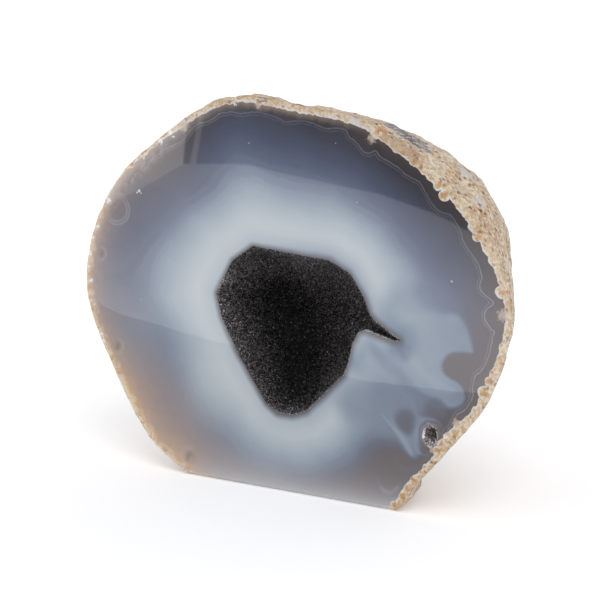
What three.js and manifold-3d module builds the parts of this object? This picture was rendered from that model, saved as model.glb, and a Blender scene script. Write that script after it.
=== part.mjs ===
// One half of an agate nodule: a polished face in front, rough rind behind, and a sawn base to stand on.
// A hollow in the face is lined by dark crystals, and a small pocket near its right edge by grey ones.
// Millimetres: x runs along the polished face, y into the stone and z up from the base.
import * as THREE from 'three';
import { mergeVertices } from 'three/addons/utils/BufferGeometryUtils.js';
import Module from 'manifold-3d';

const wasm = await Module();
wasm.setup();

// The nodule: its edge on the polished face, as [x, z], and how far it reaches behind that face.
// The three points below zero are where the stone would go on if it had no sawn base.
const noduleEdge = [
  [29.5, 0], [35, 7.5], [43, 16.5], [48.5, 23], [54.5, 30.5], [59.3, 41], [61.3, 50.5],
  [61.2, 58.5], [59.2, 66], [54.5, 75], [48, 83], [38, 90.8], [29, 96], [19, 100.2],
  [7, 101.8], [-12, 103.1], [-20, 101.7], [-29.5, 97.5], [-35, 93.7], [-43.5, 87], [-52, 79],
  [-58, 69.5], [-62, 59], [-63.2, 48.8], [-61.3, 39], [-55, 26], [-48, 14], [-41.5, 6.4],
  [-31, 0], [-17, -5], [0, -8], [17, -6.5],
];
const noduleHeart = [-1, 48.5];
const noduleDepth = 46;
const baseChamfer = 1.2;

// Swellings of the rind behind the face: direction seen from the front, reach to each side, height.
const swells = [
  { angle: 42, reach: 24, height: 3.8 },
  { angle: -12, reach: 28, height: -10 },
  { angle: 80, reach: 18, height: -3 },
  { angle: 112, reach: 16, height: 1.5 },
  { angle: 150, reach: 35, height: 3 },
  { angle: 270, reach: 45, height: 5.5 },
];

// Lumps on the rind: two waves, broad and narrow, which fade out towards the polished face.
const lumpHeights = [0.9, 0.4];
const lumpSpans = [5.2, 2.6];
const lumpFade = 7;

// The hollow: its mouth without the notch, the notch at its right, and the lean of its floor.
const mouthEdge = [
  [21.9, 51.2], [20.8, 55.3], [16.4, 61.4], [10.6, 64], [-11.7, 64.8], [-18, 60.2], [-22.9, 50.7],
  [-21.4, 44.5], [-16, 34.8], [-8, 23.3], [-4.7, 21.3], [-0.5, 21.2], [3.7, 22.8], [14.8, 34.2],
  [16.5, 38], [17.7, 42.5], [19.8, 45.7], [21.8, 46.5],
];
const notchEdge = [[21.8, 46.5], [28.8, 44.9], [31, 45.5], [23.7, 49.4], [21.9, 51.2]];
const notchReach = 9;
const hollow = { heart: [-2, 54.5], lean: [-7, -9], depth: 27 };

// The pocket, a small hollow of its own.
const pocketEdge = [
  [41.9, 22.1], [41.2, 24.1], [39.6, 24.3], [37.9, 23.3], [37.6, 20.5], [38.2, 17.9], [40, 17.5],
  [41.8, 19.5],
];
const pocket = { heart: [39.7, 20.9], lean: [0.3, -0.4], depth: 4.2 };

// The crystal crusts: gap to the stone, thickness at the foot of a crystal and height of a crystal,
// then the columns around and the rows from front to back, a multiple of three columns for each.
const hollowCrust = { gap: 0.6, foot: 0.8, crystal: 1.5, columns: 72, rows: 16 };
const pocketCrust = { gap: 0.35, foot: 0.3, crystal: 0.7, columns: 15, rows: 5 };
const crystalFocus = 0.6;
const shortestCrystal = 0.5;

// Columns and rows of the stone's own surfaces. A cutter starts a little in front of the face.
const noduleColumns = 92;
const noduleRows = 20;
const mouthColumns = 48;
const notchColumns = 8;
const mouthRows = 10;
const cutterStart = -0.06;

const stoneColor = 0x8b96a3;
const crustColor = 0x16161a;
const pocketColor = 0x6d6a6c;

const quarterTurn = Math.PI / 2;

// A repeatable number from 0 to 1 for each place on a surface.
function chance(row, column) {
  const wave = Math.sin(row * 12.9898 + column * 78.233) * 43758.5453;
  return wave - Math.floor(wave);
}

// An [x, z] pair as a point of the plane at depth y.
function at([x, z], y) {
  return new THREE.Vector3(x, y, z);
}

// A chain of straight lines through the corners: gives the point at a fraction of its length.
function chain(corners) {
  const path = new THREE.CurvePath();
  corners.slice(1).forEach((corner, i) => path.add(new THREE.LineCurve3(at(corners[i], 0), at(corner, 0))));
  return (fraction) => path.getPointAt(fraction);
}

// Points at even steps along a chain, its last end left out. A half shift sets them between the steps.
function evenSteps(corners, count, shift) {
  const along = chain(corners);
  return Array.from({ length: count }, (_, column) => along((column + shift) / count));
}

// A closed skin over rings of points that run from one pole to the other. Each odd ring is turned by
// half a column, so that every point has six neighbours.
function skin(rings, firstPole, lastPole) {
  const columns = rings[0].length;
  const positions = [firstPole, ...rings.flat(), lastPole].flatMap((point) => point.toArray());
  const lastIndex = 1 + rings.length * columns;
  const place = (ring, column) => 1 + ring * columns + column % columns;
  const index = [];
  for (let column = 0; column < columns; column += 1) {
    index.push(0, place(0, column), place(0, column + 1));
    index.push(lastIndex, place(rings.length - 1, column + 1), place(rings.length - 1, column));
    for (let ring = 0; ring < rings.length - 1; ring += 1) {
      const shift = ring % 2;
      const above = place(ring + 1, column + shift);
      const below = place(ring, column + 1 - shift);
      index.push(place(ring, column), above, place(ring, column + 1));
      index.push(below, place(ring + 1, column), place(ring + 1, column + 1));
    }
  }
  const geometry = new THREE.BufferGeometry();
  geometry.setAttribute('position', new THREE.Float32BufferAttribute(positions, 3));
  geometry.setIndex(index);
  return geometry;
}

function solid(geometry) {
  geometry.deleteAttribute('normal');
  geometry.deleteAttribute('uv');
  const merged = mergeVertices(geometry);
  return new wasm.Manifold(new wasm.Mesh({
    numProp: 3,
    vertProperties: new Float32Array(merged.attributes.position.array),
    triVerts: new Uint32Array(merged.index.array),
  }));
}

function geometryOf(manifold) {
  const { vertProperties, triVerts } = manifold.getMesh();
  const geometry = new THREE.BufferGeometry();
  geometry.setAttribute('position', new THREE.BufferAttribute(vertProperties, 3));
  geometry.setIndex(new THREE.BufferAttribute(triVerts, 1));
  return geometry;
}

// A block whose top face passes through x = 0, y = 0 at height z, then tilts about the x axis.
function blockBelow(size, z, tilt) {
  const geometry = new THREE.BoxGeometry(size, size, size);
  geometry.translate(0, 0, -size / 2);
  geometry.rotateX(tilt);
  geometry.translate(0, 0, z);
  return solid(geometry);
}

// How much the rind swells in one direction, as a sum of bell curves over the angle.
function swellToward(angle) {
  return swells.reduce((sum, swell) => {
    const turn = THREE.MathUtils.euclideanModulo(angle - swell.angle + 180, 360) - 180;
    return sum + swell.height * Math.exp(-((turn / swell.reach) ** 2));
  }, 0);
}

function lumpAt({ x, y, z }) {
  const [broad, narrow] = lumpSpans;
  const broadWave = Math.sin(x / broad + 1.3 * Math.sin(z / broad)) * Math.sin((y + z) / broad);
  const narrowWave = Math.sin((x + y) / narrow) * Math.sin((z - y) / narrow);
  return lumpHeights[0] * broadWave + lumpHeights[1] * narrowWave;
}

// A point of the rind: an edge point drawn in towards the heart as a quarter ellipse runs back, pushed
// out by the swellings, then moved along the line from the heart by the lumps.
function rindPoint(edge, turn) {
  const heart = at(noduleHeart, 0);
  const spoke = edge.clone().sub(heart);
  const angle = THREE.MathUtils.radToDeg(Math.atan2(spoke.z, spoke.x));
  const swell = swellToward(angle) * Math.sin(2 * turn) / spoke.length();
  const point = heart.clone().addScaledVector(spoke, Math.cos(turn) + swell);
  point.y = noduleDepth * Math.sin(turn);
  const lump = lumpAt(point) * THREE.MathUtils.smoothstep(point.y, 0, lumpFade);
  return point.addScaledVector(point.clone().sub(heart).normalize(), lump);
}

function noduleSolid() {
  const corners = noduleEdge.map((corner) => at(corner, 0));
  const edge = new THREE.CatmullRomCurve3(corners, true, 'catmullrom', 0.5);
  const rings = [];
  for (let row = 0; row < noduleRows; row += 1) {
    const turn = quarterTurn * row / noduleRows;
    const ring = [];
    for (let column = 0; column < noduleColumns; column += 1) {
      ring.push(rindPoint(edge.getPointAt((column + (row % 2) / 2) / noduleColumns), turn));
    }
    rings.push(ring);
  }
  return solid(skin(rings, at(noduleHeart, 0), rindPoint(corners[0], quarterTurn)));
}

// One ring of a hollow, set in from its wall: the edge is drawn in towards the heart as a quarter
// ellipse runs back, while the middle leans away.
function hollowRing(edge, { heart, lean, depth }, turn, inset) {
  const middle = at(heart, 0).addScaledVector(at(lean, 0), Math.sin(turn));
  return edge.map((corner) => {
    const spoke = corner.clone().sub(at(heart, 0));
    const point = middle.clone().addScaledVector(spoke, Math.cos(turn) - inset / spoke.length());
    point.y = (depth - inset) * Math.sin(turn);
    return point;
  });
}

function floorPole({ heart, lean, depth }, inset) {
  return at(heart, 0).add(at(lean, depth - inset));
}

// The edge of the mouth with its notch: whole at the face, closed from notchReach on.
function notchedEdge(shift, depth) {
  const open = 1 - THREE.MathUtils.smoothstep(depth, 0, notchReach);
  const root = evenSteps([notchEdge[0], notchEdge.at(-1)], notchColumns, shift);
  const notch = evenSteps(notchEdge, notchColumns, shift);
  const sides = root.map((point, i) => point.lerp(notch[i], open));
  return [...evenSteps(mouthEdge, mouthColumns, shift), ...sides];
}

// The solid that cuts a hollow out of the stone.
function cutter(shape, rows, edgeAt) {
  const rings = [];
  for (let row = 0; row < rows; row += 1) {
    const turn = THREE.MathUtils.lerp(cutterStart, quarterTurn, row / rows);
    const edge = edgeAt((row % 2) / 2, shape.depth * Math.sin(turn));
    rings.push(hollowRing(edge, shape, turn, 0));
  }
  const front = at(shape.heart, shape.depth * Math.sin(cutterStart));
  return solid(skin(rings, front, floorPole(shape, 0)));
}

// A crust of crystals that lines a hollow. Its skin runs from the floor up to the mouth inside, and
// back down along the wall. Every third point inside is the tip of a six-sided crystal, which leans
// towards a focus in the hollow.
function crust(shape, edge, { gap, foot, crystal, columns, rows }) {
  const focus = floorPole(shape, 0).lerp(at(shape.heart, 0), crystalFocus);
  const inside = [];
  const wall = [];
  for (let row = 0; row < rows; row += 1) {
    const turn = quarterTurn * row / rows;
    const insideShift = (rows - 1 - row) % 2;
    const ring = hollowRing(evenSteps(edge, columns, insideShift / 2), shape, turn, gap + foot);
    inside.unshift(ring.map((point, column) => {
      const isTip = (column + 2 * insideShift) % 3 === 0 && row > 0;
      const height = isTip ? crystal * THREE.MathUtils.lerp(shortestCrystal, 1, chance(row, column)) : 0;
      return point.addScaledVector(focus.clone().sub(point).normalize(), height);
    }));
    wall.push(hollowRing(evenSteps(edge, columns, ((rows + row) % 2) / 2), shape, turn, gap));
  }
  return skin([...inside, ...wall], floorPole(shape, gap + foot), floorPole(shape, gap));
}

function named(name, geometry, color, roughness) {
  const material = new THREE.MeshStandardMaterial({ color, roughness, metalness: 0, flatShading: true });
  const mesh = new THREE.Mesh(geometry, material);
  mesh.name = name;
  return mesh;
}

const closed = (corners) => [...corners, corners[0]];
const pocketRing = (shift) => evenSteps(closed(pocketEdge), pocketCrust.columns, shift);

const stone = noduleSolid()
  .subtract(blockBelow(4 * noduleDepth, 0, 0))
  .subtract(blockBelow(4 * noduleDepth, baseChamfer, -Math.PI / 4))
  .subtract(cutter(hollow, mouthRows, notchedEdge))
  .subtract(cutter(pocket, pocketCrust.rows, pocketRing));

const agate = new THREE.Group();
agate.add(named('agate', geometryOf(stone), stoneColor, 0.15));
agate.add(named('hollow_crystals', crust(hollow, closed(mouthEdge), hollowCrust), crustColor, 0.2));
agate.add(named('pocket_crystals', crust(pocket, closed(pocketEdge), pocketCrust), pocketColor, 0.25));

// The origin is under the middle of the stone's box, on its base.
const box = new THREE.Box3().setFromObject(agate);
const middle = box.getCenter(new THREE.Vector3());
agate.position.set(-middle.x, -middle.y, 0);

export default agate;
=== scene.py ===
import math

import bpy
import numpy as np
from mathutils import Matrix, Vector


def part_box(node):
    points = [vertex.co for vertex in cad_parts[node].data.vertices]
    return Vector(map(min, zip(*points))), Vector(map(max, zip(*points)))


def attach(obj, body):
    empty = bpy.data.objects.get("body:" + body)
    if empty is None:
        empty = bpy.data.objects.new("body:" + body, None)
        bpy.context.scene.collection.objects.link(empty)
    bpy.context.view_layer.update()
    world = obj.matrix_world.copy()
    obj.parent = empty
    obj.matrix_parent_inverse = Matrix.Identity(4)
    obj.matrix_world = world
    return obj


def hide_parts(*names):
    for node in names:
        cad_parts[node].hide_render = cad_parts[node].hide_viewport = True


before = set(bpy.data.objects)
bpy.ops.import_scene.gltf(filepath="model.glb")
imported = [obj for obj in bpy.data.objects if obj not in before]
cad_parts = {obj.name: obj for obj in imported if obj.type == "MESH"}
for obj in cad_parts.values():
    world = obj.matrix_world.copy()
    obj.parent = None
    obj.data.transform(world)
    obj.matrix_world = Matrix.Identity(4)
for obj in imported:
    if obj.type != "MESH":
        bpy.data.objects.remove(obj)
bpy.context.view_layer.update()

mm = 0.001
quarter = math.pi / 2
farGap = 30  # mm beyond which a distance no longer matters to the finish
farShare = 3  # the same for a distance counted in radii


# Small tools for arrays

def smooth(low, high, value):  # 0 below low, 1 above high, 3t2 - 2t3 between them
    t = np.clip((value - low) / (high - low), 0, 1)
    return t * t * (3 - 2 * t)


def atLeast(least, share):  # least where the share is 0, and 1 where it is 1
    return least + (1 - least) * share


def bells(degrees, hills):  # sum over (at, reach, height) of height * exp(-((degrees - at) / reach)^2)
    total = np.zeros_like(degrees)
    for at, reach, height in hills:
        away = (degrees - at + 180) % 360 - 180
        total += height * np.exp(-(away / reach) ** 2)
    return total


def unit(vectors):
    return vectors / np.linalg.norm(vectors, axis=-1, keepdims=True)


def bearing(x, z, heart):  # direction in degrees, seen from the heart
    return np.degrees(np.arctan2(z - heart[1], x - heart[0]))


# Random heights on a lattice of that span, eased between its eight corners.
def grain(points, span, seed, cells=48):
    lattice = np.random.default_rng(seed).uniform(-1, 1, (cells, cells, cells))
    place = points / span + 5 * cells
    cell = np.floor(place).astype(int)
    part = place - cell
    part = part * part * (3 - 2 * part)
    total = np.zeros(points.shape[:-1])
    for corner in np.ndindex(2, 2, 2):
        weight = np.prod(np.where(corner, part, 1 - part), axis=-1)
        i, j, k = np.moveaxis((cell + corner) % cells, -1, 0)
        total += weight * lattice[i, j, k]
    return total


def closestGap(points, marks, sizes=0.0, rows=2000):  # smallest distance to a mark, less the mark's own size
    gaps = np.empty(len(points))
    for start in range(0, len(points), rows):
        block = points[start:start + rows, None]
        gaps[start:start + rows] = (np.hypot(*np.moveaxis(block - marks, -1, 0)) - sizes).min(1)
    return gaps


def lengthAlong(path):
    return np.append(0, np.cumsum(np.linalg.norm(np.diff(path, axis=0), axis=1)))


def pointsAt(s, path, reached):  # points of the path at the lengths s
    return np.stack([np.interp(s, reached, side) for side in path.T], 1)


def closedCurve(corners, steps):  # uniform Catmull-Rom spline through the corners, steps points to a span
    p = np.array(corners, float)
    a, b, c, d = (np.roll(p, shift, axis=0)[:, None] for shift in (1, 0, -1, -2))
    u = np.linspace(0, 1, steps, endpoint=False)[None, :, None]
    curve = 2 * b + (c - a) * u + (2 * a - 5 * b + 4 * c - d) * u ** 2 + (3 * b - a - 3 * c + d) * u ** 3
    return (curve / 2).reshape(-1, 2)


def roundedLoop(corners, step, rounding):  # straight sides at even steps, then averaged with a bell
    p = np.array(corners + corners[:1], float)
    reached = lengthAlong(p)
    loop = pointsAt(np.arange(0, reached[-1], step), p, reached)
    half = int(3 * rounding / step)
    bell = np.exp(-(np.arange(-half, half + 1) * step / rounding) ** 2)
    wrapped = np.concatenate([loop[-half:], loop, loop[:half]])
    return np.stack([np.convolve(side, bell / bell.sum(), "valid") for side in wrapped.T], 1)


def radiusAt(angle, loop, heart):  # distance from the heart to a closed loop, looking along each angle
    spoke = loop - np.array(heart)
    turned = np.arctan2(spoke[:, 1], spoke[:, 0])
    order = np.argsort(turned)
    return np.interp(angle, turned[order], np.hypot(*spoke.T)[order], period=2 * math.pi)


def gridFaces(rows, columns):  # quads of a grid that closes on itself around, as corner indices
    first = (np.arange(rows - 1)[:, None] * columns + np.arange(columns)).ravel()
    beside = (np.arange(rows - 1)[:, None] * columns + (np.arange(columns) + 1) % columns).ravel()
    return np.stack([first, first + columns, beside + columns, beside], 1)


def makeMesh(name, points, polygons, materials, materialOf=None, isSmooth=False, values=None):
    mesh = bpy.data.meshes.new(name)
    corners = np.concatenate([p.ravel() for p in polygons])
    sizes = np.concatenate([np.full(len(p), p.shape[1]) for p in polygons])
    mesh.vertices.add(len(points))
    mesh.vertices.foreach_set("co", (points * mm).astype(np.float32).ravel())
    mesh.loops.add(len(corners))
    mesh.loops.foreach_set("vertex_index", corners.astype(np.int32))
    mesh.polygons.add(len(sizes))
    mesh.polygons.foreach_set("loop_start", (np.cumsum(sizes) - sizes).astype(np.int32))
    for material in materials:
        mesh.materials.append(material)
    if materialOf is not None:
        mesh.polygons.foreach_set("material_index", materialOf.astype(np.int32))
    mesh.update(calc_edges=True)
    mesh.polygons.foreach_set("use_smooth", np.zeros(len(sizes), bool) | isSmooth)
    for label, value in values.items():
        mesh.attributes.new(label, "FLOAT", "POINT").data.foreach_set("value", value.astype(np.float32))
    mesh.validate()
    piece = bpy.data.objects.new(name, mesh)
    bpy.context.scene.collection.objects.link(piece)
    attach(piece, "root")
    print(name, "has", int((sizes - 2).sum()), "triangles")
    return piece


# Small tools for materials: a node stands in the tree of the first socket that it is given

def srgb(red, green, blue):  # screen colour 0-255 to linear light
    c = np.array([red, green, blue]) / 255
    return (*np.where(c <= 0.04045, c / 12.92, ((c + 0.055) / 1.055) ** 2.4), 1.0)


def isSocket(value):
    return isinstance(value, bpy.types.NodeSocket)


def fill(made, inputs):  # links an input to the socket it is given, or sets it
    for key, value in inputs.items():
        if isSocket(value):
            made.id_data.links.new(value, made.inputs[key])
        else:
            made.inputs[key].default_value = value
    return made


def newMaterial(name, inputs):  # stone unless the inputs say otherwise
    material = bpy.data.materials.new(name)
    material.use_nodes = True
    tree = material.node_tree
    shader = fill(tree.nodes["Principled BSDF"], {"IOR": 1.54, **inputs})
    return material, tree, shader


def node(kind, inputs, tree=None, **settings):
    tree = tree or next(value.id_data for value in inputs.values() if isSocket(value))
    made = tree.nodes.new(kind)
    for name, value in settings.items():
        setattr(made, name, value)
    return fill(made, inputs)


def objectPlace(tree):
    return node("ShaderNodeTexCoord", {}, tree).outputs["Object"]


def attribute(tree, name):
    return node("ShaderNodeAttribute", {}, tree, attribute_name=name).outputs["Fac"]


def calculate(operation, a, b=0.0):
    return node("ShaderNodeMath", {0: a, 1: b}, operation=operation).outputs[0]


def times(a, b):
    return calculate("MULTIPLY", a, b)


def swayed(value, chance, reach):  # value + (chance - 0.5) * reach, so that an edge wanders with the noise
    return calculate("ADD", value, times(calculate("SUBTRACT", chance, 0.5), reach))


def gapTo(value, at):
    return calculate("ABSOLUTE", calculate("SUBTRACT", value, at))


def step(value, low, high):  # smooth step, 0 at low and 1 at high, or the other way round
    ends = {"From Min": min(low, high), "From Max": max(low, high)}
    ends.update({"To Min": float(low > high), "To Max": float(low < high)})
    return node("ShaderNodeMapRange", {"Value": value, **ends}, interpolation_type="SMOOTHSTEP").outputs[0]


def mix(factor, a, b, blend="MIX"):
    return node("ShaderNodeMix", {0: factor, 6: a, 7: b}, data_type="RGBA", blend_type=blend).outputs[2]


def ramp(value, stops):
    made = node("ShaderNodeValToRGB", {"Fac": value})
    elements = made.color_ramp.elements
    while len(elements) < len(stops):
        elements.new(1.0)
    for element, (place, color) in zip(elements, stops):
        element.position = place
        element.color = color
    return made.outputs["Color"]


def noise(place, size, detail=2.0, roughness=0.5):  # size in mm
    sockets = {"Vector": place, "Scale": 1 / (size * mm), "Detail": detail, "Roughness": roughness}
    return node("ShaderNodeTexNoise", sockets).outputs["Fac"]


def bump(height, strength, distance):  # distance in mm
    sockets = {"Height": height, "Strength": strength, "Distance": distance * mm}
    return node("ShaderNodeBump", sockets).outputs[0]


# Lays paints over a colour, one row after the other. A row covers by its value, which its noises sway:
# where it runs from the first of its ends to the second, or in a thin line where it is at a given value.
# The cover is lessened where another noise runs from one end to the other, and by how much a row is seen.
# A value that isn't among the sources is an attribute of the mesh.
def layPaints(tree, color, rows, sources, look):
    def source(name):
        if name not in sources:
            sources[name] = attribute(tree, name)
        return sources[name]

    for row in rows:
        share = source(row["by"])
        for name, reach in row.get("sways", []):
            share = swayed(share, source(name), reach)
        if "at" in row:
            share = gapTo(share, row["at"])
        if "ends" in row:
            share = step(share, *row["ends"])
        if "where" in row:
            name, start, full = row["where"]
            share = times(share, step(source(name), start, full))
        if "seen" in row:
            share = times(share, source(row["seen"]))
        share = times(share, row.get("cover", 1.0))
        paint = look.get(row["paint"], sources.get(row["paint"]))
        if "turn" in row:
            paint = mix(source(row["turn"]), paint, look[row["turned"]])
        color = mix(share, color, paint, row.get("blend", "MIX"))
    return color


# The nodule: its edge on the polished face in mm as (x, z), its swellings as (direction, reach, height)

nodule = {
    "edge": [
        (29.5, 0), (35, 7.5), (43, 16.5), (48.5, 23), (54.5, 30.5), (59.3, 41), (61.3, 50.5), (61.2, 58.5),
        (59.2, 66), (54.5, 75), (48, 83), (38, 90.8), (29, 96), (19, 100.2), (7, 101.8), (-12, 103.1),
        (-20, 101.7), (-29.5, 97.5), (-35, 93.7), (-43.5, 87), (-52, 79), (-58, 69.5), (-62, 59),
        (-63.2, 48.8), (-61.3, 39), (-55, 26), (-48, 14), (-41.5, 6.4), (-31, 0), (-17, -5), (0, -8),
        (17, -6.5),
    ],
    "heart": (-1, 48.5),
    "depth": 46,
    "chamfer": 1.2,
    "swells": [
        (42, 24, 3.8), (-12, 28, -10), (80, 18, -3), (112, 16, 1.5), (150, 35, 3), (270, 45, 5.5),
        (94, 9, -2.4), (74, 9, 1.2), (15, 10, -0.8), (-56, 12, -6),
    ],
    "lumps": [(0.45, 5.2), (0.4, 2.6)],  # height and size
    "lumpSwirl": 1.3,
    "lumpFade": (0, 7),  # depths behind the face at which the lumps begin and are whole
    "grit": [(0.28, 2.4), (0.16, 1.1)],
    "gritSeed": 5,
    "gritOnFace": 0.45,
    "gritFade": (0, 4),
    "backwardFade": (1, 6),
    "bulge": {"at": (28, 13, 3), "reach": (9, 9, 3.5), "push": 3.0},
    "frontRows": [0, 0.3, 0.7, 1.2],
    "rindRows": 68,
    "rowCrowding": 1.25,  # above 1, the rings stand closer behind the face
    "naturalColumns": 520,
    "baseColumns": 120,
    "baseSearch": {"lowest": (230, 310), "steps": 161, "sides": (345, 195), "halvings": 26},
    "backSpread": (2, 1.2),  # degrees that the first ring above the base spreads, and each further one
    "closeDirections": [(-12, 8, 1.6), (-38, 7, 1.2)],
}

hollow = {
    "mouth": [
        (22.1, 51), (20.6, 55), (16.4, 60.9), (10.6, 63.4), (-12, 64.5), (-18, 60), (-23, 50.7),
        (-21.4, 44.5), (-16, 34.8), (-8, 23.3), (-4.7, 21.3), (-0.5, 21.2), (3.7, 22.8), (14.8, 34.2),
        (16.2, 38), (17.2, 42.6), (19, 45.9), (21, 46.7),
    ],
    "notch": [(28.6, 44.9), (31.2, 45.3), (24, 49.2)],
    "notchReach": 9,
    "heart": (-2, 54.5),
    "lean": (-7, -9),
    "depth": 27,
    "rounding": 0.4,
    "outlineStep": 0.1,
    "wallRows": 14,
}

pocket = {
    "edge": [
        (41.7, 22.4), (41, 24.1), (39.6, 24.3), (38.1, 23.3), (37.8, 21), (38.6, 19.2), (40.2, 18.8),
        (41.5, 20.2),
    ],
    "heart": (39.7, 21.6),
    "depth": 4.2,
    "shallow": {"share": 0.35, "heights": (19.2, 21.6)},
    "rounding": 0.35,
    "outlineStep": 0.05,
    "snap": 0.24,
    "reach": 6,
}

faceRows = {"closeStep": 0.32, "closeRows": 37, "mouthRows": [0, 0.3, 0.8, 1.6, 2.6], "evenRows": 19}

noduleCurve = closedCurve(nodule["edge"], 60)
mouthLoop = roundedLoop(hollow["mouth"], hollow["outlineStep"], hollow["rounding"])
notchedLoop = roundedLoop(hollow["mouth"] + hollow["notch"], hollow["outlineStep"], hollow["rounding"])
pocketLoop = roundedLoop(pocket["edge"], pocket["outlineStep"], pocket["rounding"])
print("outlines drawn")


# A point of the rind: heart + spoke * (cos turn + swell * sin 2turn / length), as deep as depth * sin turn,
# then moved away from the heart by the lumps and the grit, and to the right by the bulge over the base.
def rindPoint(angle, turn):
    heartX, heartZ = nodule["heart"]
    length = radiusAt(angle, noduleCurve, nodule["heart"])
    scale = np.cos(turn) + bells(np.degrees(angle), nodule["swells"]) * np.sin(2 * turn) / length
    depth = nodule["depth"] * np.sin(turn) + 0 * angle
    away = np.stack([length * np.cos(angle) * scale, depth, length * np.sin(angle) * scale], -1)
    points = away + np.array([heartX, 0, heartZ])
    x, y, z = np.moveaxis(points, -1, 0)
    (broadHeight, broad), (narrowHeight, narrow) = nodule["lumps"]
    swirl = nodule["lumpSwirl"] * np.sin(z / broad)
    lump = broadHeight * np.sin(x / broad + swirl) * np.sin((y + z) / broad)
    lump = lump + narrowHeight * np.sin((x + y) / narrow) * np.sin((z - y) / narrow)
    lump = lump * smooth(*nodule["lumpFade"], y)
    grit = sum(height * grain(points, span, nodule["gritSeed"]) for height, span in nodule["grit"])
    lump = lump + grit * atLeast(nodule["gritOnFace"], smooth(*nodule["gritFade"], y))
    direction = unit(away)
    direction[..., 1] *= smooth(*nodule["backwardFade"], y)
    bulge = nodule["bulge"]
    share = np.exp(-(((points - bulge["at"]) / bulge["reach"]) ** 2).sum(-1))
    points = points + direction * lump[..., None]
    points[..., 0] += bulge["push"] * share
    return points


def sawnHeight(y):  # the base is flat at zero, with a chamfer towards the face
    return np.maximum(0, nodule["chamfer"] - y)


# Angles at which each ring of the rind meets the sawn base, by halving the span between its lowest point
# and its side. Rings that don't reach the base keep two corners close beside their lowest point.
def baseCorners(turn):
    search = nodule["baseSearch"]
    low = np.radians(np.linspace(*search["lowest"], search["steps"]))[None, :]
    heights = rindPoint(low + 0 * turn[:, None], turn[:, None] + 0 * low)[..., 2]
    lowest = low[0, heights.argmin(1)]
    hasBase = heights.min(1) < 0
    first, further = nodule["backSpread"]
    spread = np.radians(first + further * np.cumsum(~hasBase))
    corners = []
    for side, beside in zip(search["sides"], (lowest + spread, lowest - spread)):
        inside, outside = lowest.copy(), np.full_like(turn, math.radians(side))
        for _ in range(search["halvings"]):
            middle = (inside + outside) / 2
            point = rindPoint(middle, turn)
            isUnder = point[:, 2] < sawnHeight(point[:, 1])
            inside, outside = np.where(isUnder, middle, inside), np.where(isUnder, outside, middle)
        corners.append(np.where(hasBase, inside, beside))
    return *corners, hasBase


# Rings of the rind from the face to the back: columns run round the natural edge from the right corner of the
# base over the top to the left corner, closer together near the notch and the pocket, then along the base.
def rindRings():
    front = np.arcsin(np.array(nodule["frontRows"]) / nodule["depth"])
    back = np.linspace(0, 1, nodule["rindRows"] - len(front) + 2)[1:-1] ** nodule["rowCrowding"]
    turn = np.append(front, front[-1] + (quarter - front[-1]) * back)
    right, left, hasBase = baseCorners(turn)
    fraction = np.linspace(0, 1, 2000)
    direction = np.degrees(right[0]) - 360 + fraction * (np.degrees(left[0] - right[0]) + 360)
    reached = np.append(0, np.cumsum(1 + bells(direction[1:], nodule["closeDirections"])))
    along = np.interp(np.linspace(0, 1, nodule["naturalColumns"]), reached / reached[-1], fraction)
    right, left = right[:, None], left[:, None]
    natural = rindPoint(right - 2 * math.pi + (left - right + 2 * math.pi) * along, turn[:, None] + 0 * along)
    part = np.arange(1, nodule["baseColumns"] + 1) / (nodule["baseColumns"] + 1)
    under = rindPoint(left + (right - left) * part, turn[:, None] + 0 * part)
    chord = natural[:, -1:] + (natural[:, :1] - natural[:, -1:]) * part[:, None]
    chord[..., 2] = 0
    rings = np.concatenate([natural, np.where(hasBase[:, None, None], chord, under)], 1)
    rings[..., 2] = np.maximum(rings[..., 2], sawnHeight(rings[..., 1]))
    return rings, hasBase


# A point of the hollow's wall: the mouth's edge drawn in to the heart by cos turn, and the middle leans away.
def hollowPoint(angle, turn):
    y = hollow["depth"] * np.sin(turn)
    isOpen = 1 - smooth(0, hollow["notchReach"], y)
    whole = radiusAt(angle, mouthLoop, hollow["heart"])
    length = whole + (radiusAt(angle, notchedLoop, hollow["heart"]) - whole) * isOpen
    reach = length * np.cos(turn)
    x = hollow["heart"][0] + hollow["lean"][0] * np.sin(turn) + reach * np.cos(angle)
    z = hollow["heart"][1] + hollow["lean"][1] * np.sin(turn) + reach * np.sin(angle)
    return np.stack([x, y + 0 * x, z], -1)


# Rings of the face, from the mouth out to the rim along straight spokes.
def faceRings(rim):
    angle = np.arctan2(rim[:, 2] - hollow["heart"][1], rim[:, 0] - hollow["heart"][0])
    mouth = hollowPoint(angle, np.zeros_like(angle))
    length = np.linalg.norm(rim - mouth, axis=1)
    near = np.array(faceRows["mouthRows"])[:, None] + 0 * length
    close = length - np.arange(faceRows["closeRows"], 0, -1)[:, None] * faceRows["closeStep"]
    part = (np.arange(faceRows["evenRows"]) + 1)[:, None] / (faceRows["evenRows"] + 1)
    even = near[-1] + (close[0] - near[-1]) * part
    away = np.concatenate([near, even, close])
    return mouth + (rim - mouth) * (away / length)[..., None], angle


def pocketDepth(z):  # it is shallow at its lower end
    shallow = pocket["shallow"]
    return pocket["depth"] * atLeast(shallow["share"], smooth(*shallow["heights"], z))


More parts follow.
